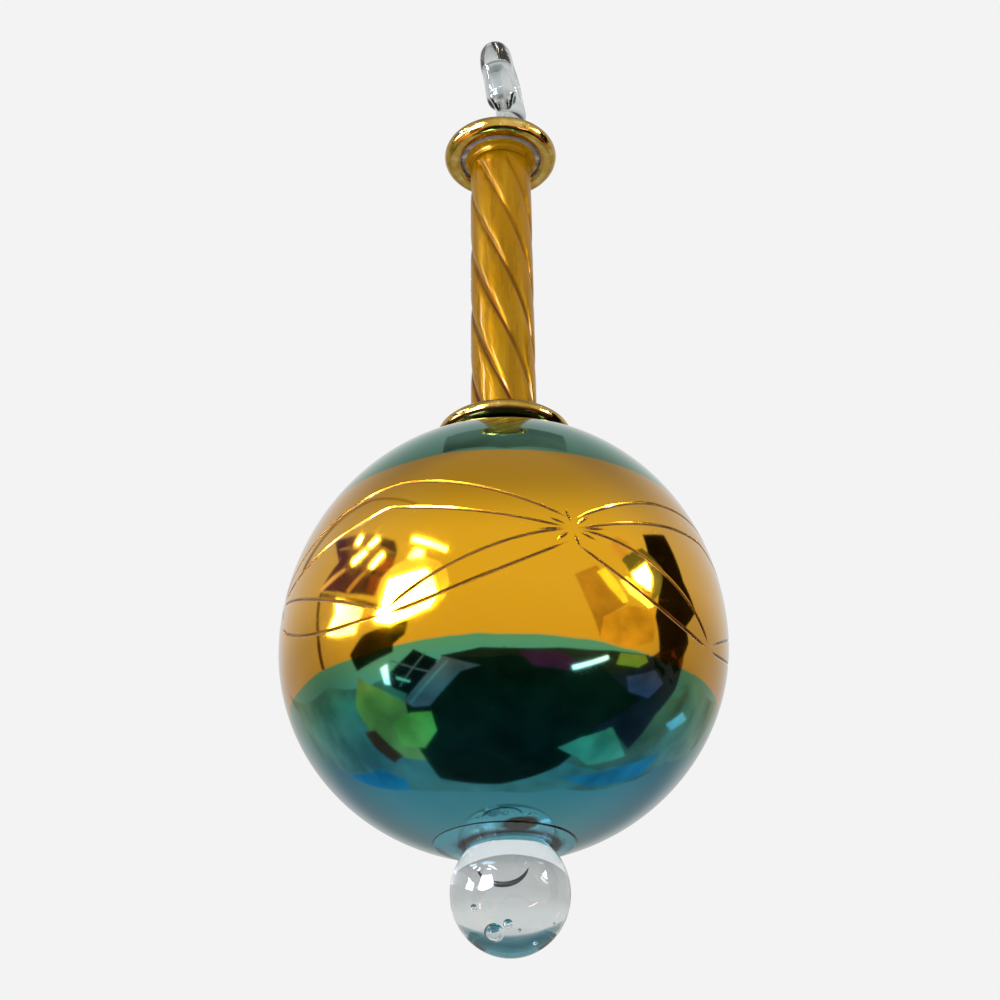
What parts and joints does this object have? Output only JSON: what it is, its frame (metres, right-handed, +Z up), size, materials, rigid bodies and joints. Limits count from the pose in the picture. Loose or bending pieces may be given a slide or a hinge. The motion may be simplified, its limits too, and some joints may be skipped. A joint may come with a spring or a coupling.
{
  "type": "hanging glass ornament",
  "caption": "Blown glass ornament with a lustred globe on a twisted gold stem, gilt discs, a clear hook to hang by and a clear ball drop.",
  "frame": {"origin": "the hang point, at the inside top of the hook's crook", "axes": "+Z up along the stem, the way the ornament hangs; -Y is the side that the hook's tip faces"},
  "size_m": [0.07, 0.07, 0.1744],
  "materials": {
    "clear_glass": "clear, fire-polished",
    "gilt": "bright gold over glass",
    "gold_stem": "amber gold lustre over glass",
    "mirror_lustre": "mirror lustre, gold band between teal ends"
  },
  "bodies": {
    "root": {"hook": "clear_glass", "upper_disc": "gilt", "stem": "gold_stem", "lower_disc": "gilt", "globe": "mirror_lustre", "ball_drop": "clear_glass"}
  },
  "joints": []
}
